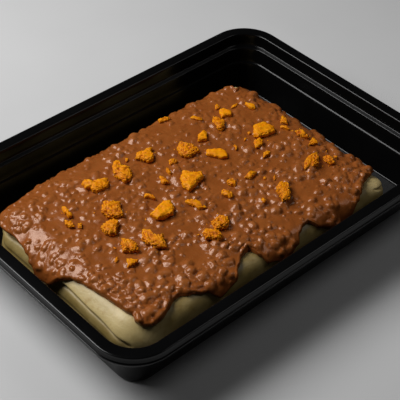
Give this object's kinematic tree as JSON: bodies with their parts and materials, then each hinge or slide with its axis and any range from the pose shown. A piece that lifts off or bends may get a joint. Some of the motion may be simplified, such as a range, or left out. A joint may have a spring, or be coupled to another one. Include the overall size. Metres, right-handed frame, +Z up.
{
  "type": "folded crepe in a takeaway tray",
  "caption": "Folded crepe with chocolate nut sauce and honeycomb toffee pieces, lying in a black plastic takeaway tray with a stepped rim.",
  "frame": {"origin": "middle of the tray's underside", "axes": "+X along the tray's long side, +Z up"},
  "size_m": [0.224, 0.1606, 0.0345],
  "materials": {
    "tray": "satin black moulded polypropylene",
    "crepe": "soft pale yellow batter",
    "sauce": "glossy milk chocolate sauce with chopped nuts",
    "toffee": "porous golden honeycomb toffee"
  },
  "bodies": {
    "root": {"tray": "tray", "crepe": "crepe", "chocolate_sauce": "sauce", "honeycomb_01": "toffee", "honeycomb_02": "toffee", "honeycomb_03": "toffee", "honeycomb_04": "toffee", "honeycomb_05": "toffee", "honeycomb_06": "toffee", "honeycomb_07": "toffee", "honeycomb_08": "toffee", "honeycomb_09": "toffee", "honeycomb_10": "toffee", "honeycomb_11": "toffee", "honeycomb_12": "toffee", "honeycomb_13": "toffee", "honeycomb_14": "toffee", "honeycomb_15": "toffee", "honeycomb_16": "toffee", "honeycomb_17": "toffee", "honeycomb_18": "toffee", "honeycomb_19": "toffee", "honeycomb_20": "toffee", "honeycomb_21": "toffee", "honeycomb_22": "toffee", "honeycomb_23": "toffee", "honeycomb_24": "toffee"}
  },
  "joints": []
}
